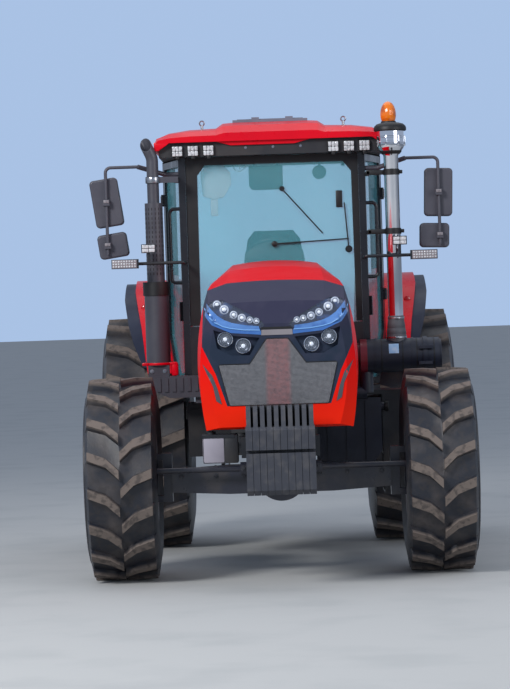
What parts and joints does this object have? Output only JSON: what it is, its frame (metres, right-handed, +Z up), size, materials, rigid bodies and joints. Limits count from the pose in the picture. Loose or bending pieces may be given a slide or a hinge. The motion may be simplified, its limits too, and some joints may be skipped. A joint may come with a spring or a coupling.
{
  "type": "farm tractor",
  "caption": "Four-wheel-drive farm tractor with a glazed cab, front ballast weights, opening hood and doors, steered front wheels and a rear linkage.",
  "frame": {"origin": "on the ground at the middle of the bounding box", "axes": "+Z up, the tractor faces -Y, +X is the driver's left"},
  "size_m": [2.51, 4.8899, 3.09],
  "materials": {
    "red_paint": "gloss automotive paint",
    "black_paint": "satin black paint",
    "wheel_paint": "satin silver paint",
    "iron": "painted casting",
    "steel": "brushed",
    "chrome": "polished",
    "rubber_tyre": "dusty",
    "dark_plastic": "moulded, fine grain",
    "mask_plastic": "moulded, fine grain",
    "lens": "clear lens",
    "amber": "clear amber",
    "red_lens": "clear red",
    "tinted_glass": "teal tint",
    "seat_fabric": "woven"
  },
  "bodies": {
    "chassis": {"air_cleaner": "dark_plastic", "air_intake": "chrome", "battery_box": "dark_plastic", "beacon": "amber", "cab_platform": "black_paint", "cab_posts": "black_paint", "cab_windows": "tinted_glass", "dashboard": "dark_plastic", "door_hinges": "black_paint", "drawbar": "black_paint", "engine": "black_paint", "engine_fan": "black_paint", "exhaust": "black_paint", "fender_extensions": "dark_plastic", "fender_left": "red_paint", "fender_right": "red_paint", "front_axle": "black_paint", "front_support": "black_paint", "front_weights": "iron", "fuel_tank": "dark_plastic", "handrails": "black_paint", "mirrors": "black_paint", "radiator": "black_paint", "rear_axle": "black_paint", "rear_lamps": "red_lens", "roof": "red_paint", "roof_hatch": "dark_plastic", "roof_lining": "dark_plastic", "seat": "seat_fabric", "side_lamps": "black_paint", "steps": "black_paint", "top_link": "black_paint", "transmission": "black_paint", "windscreen": "tinted_glass", "work_lamps": "lens"},
    "knuckle_left_body": {"knuckle_left": "black_paint"},
    "knuckle_right_body": {"knuckle_right": "black_paint"},
    "front_wheel_left": {"front_rim_left": "wheel_paint", "front_tyre_left": "rubber_tyre"},
    "front_wheel_right": {"front_rim_right": "wheel_paint", "front_tyre_right": "rubber_tyre"},
    "rear_wheel_left": {"rear_rim_left": "wheel_paint", "rear_tyre_left": "rubber_tyre"},
    "rear_wheel_right": {"rear_rim_right": "wheel_paint", "rear_tyre_right": "rubber_tyre"},
    "steering_rod_body": {"steering_rod": "steel"},
    "steering_wheel_body": {"steering_wheel": "dark_plastic"},
    "hood_body": {"hood": "red_paint", "nose_mask": "mask_plastic", "grille": "mask_plastic", "headlamps": "lens"},
    "door_left": {"door_frame_left": "red_paint", "door_glass_left": "tinted_glass"},
    "door_right": {"door_frame_right": "red_paint", "door_glass_right": "tinted_glass"},
    "lower_links_body": {"lower_links": "black_paint"},
    "lift_arms_body": {"lift_arms": "black_paint"},
    "lift_rods_body": {"lift_rods": "black_paint"}
  },
  "joints": [
    {"name": "steer_left", "type": "hinge", "parent": "chassis", "child": "knuckle_left_body", "pos_m": [0.845, -1.295, 0.65], "axis": [0, 0, 1], "range_deg": [-40, 40]},
    {"name": "steer_right", "type": "hinge", "parent": "chassis", "child": "knuckle_right_body", "pos_m": [-0.845, -1.295, 0.65], "axis": [0, 0, 1], "range_deg": [-40, 40]},
    {"name": "steering_rod_slide", "type": "slide", "parent": "chassis", "child": "steering_rod_body", "axis": [1, 0, 0], "range_m": [-0.123, 0.123]},
    {"name": "steering_wheel_turn", "type": "hinge", "parent": "chassis", "child": "steering_wheel_body", "pos_m": [0, 0.305, 2.07], "axis": [0, 0.5736, 0.8192], "range_deg": [-485, 485]},
    {"name": "front_wheel_left_spin", "type": "hinge", "parent": "knuckle_left_body", "child": "front_wheel_left", "pos_m": [1.01, -1.295, 0.65], "axis": [1, 0, 0], "continuous": true},
    {"name": "front_wheel_right_spin", "type": "hinge", "parent": "knuckle_right_body", "child": "front_wheel_right", "pos_m": [-1.01, -1.295, 0.65], "axis": [1, 0, 0], "continuous": true},
    {"name": "rear_wheel_left_spin", "type": "hinge", "parent": "chassis", "child": "rear_wheel_left", "pos_m": [0.945, 1.395, 0.83], "axis": [1, 0, 0], "continuous": true},
    {"name": "rear_wheel_right_spin", "type": "hinge", "parent": "chassis", "child": "rear_wheel_right", "pos_m": [-0.945, 1.395, 0.83], "axis": [1, 0, 0], "continuous": true},
    {"name": "hood_hinge", "type": "hinge", "parent": "chassis", "child": "hood_body", "pos_m": [0, -0.269, 1.975], "axis": [-1, 0, 0], "range_deg": [0, 50]},
    {"name": "door_left_hinge", "type": "hinge", "parent": "chassis", "child": "door_left", "pos_m": [0.76881, 0.45838, 1.9], "axis": [0, 0, 1], "range_deg": [0, 75]},
    {"name": "door_right_hinge", "type": "hinge", "parent": "chassis", "child": "door_right", "pos_m": [-0.76881, 0.45838, 1.9], "axis": [0, 0, -1], "range_deg": [0, 75]},
    {"name": "lower_links_hinge", "type": "hinge", "parent": "chassis", "child": "lower_links_body", "pos_m": [0, 1.585, 0.5], "axis": [1, 0, 0], "range_deg": [-8, 35]},
    {"name": "lift_arms_hinge", "type": "hinge", "parent": "chassis", "child": "lift_arms_body", "pos_m": [0, 1.585, 1.05], "axis": [1, 0, 0], "range_deg": [-8, 35]},
    {"name": "lift_rods_hinge", "type": "hinge", "parent": "lift_arms_body", "child": "lift_rods_body", "pos_m": [0, 1.985, 1.05], "axis": [1, 0, 0], "range_deg": [-35, 8]}
  ],
  "couplings": [
    {"joint": "steer_right", "follows": "steer_left", "ratio": 1},
    {"joint": "steering_rod_slide", "follows": "steer_left", "m_per_rad": 0.175},
    {"joint": "steering_wheel_turn", "follows": "steer_left", "ratio": 12},
    {"joint": "lift_arms_hinge", "follows": "lower_links_hinge", "ratio": 1},
    {"joint": "lift_rods_hinge", "follows": "lower_links_hinge", "ratio": -1}
  ]
}
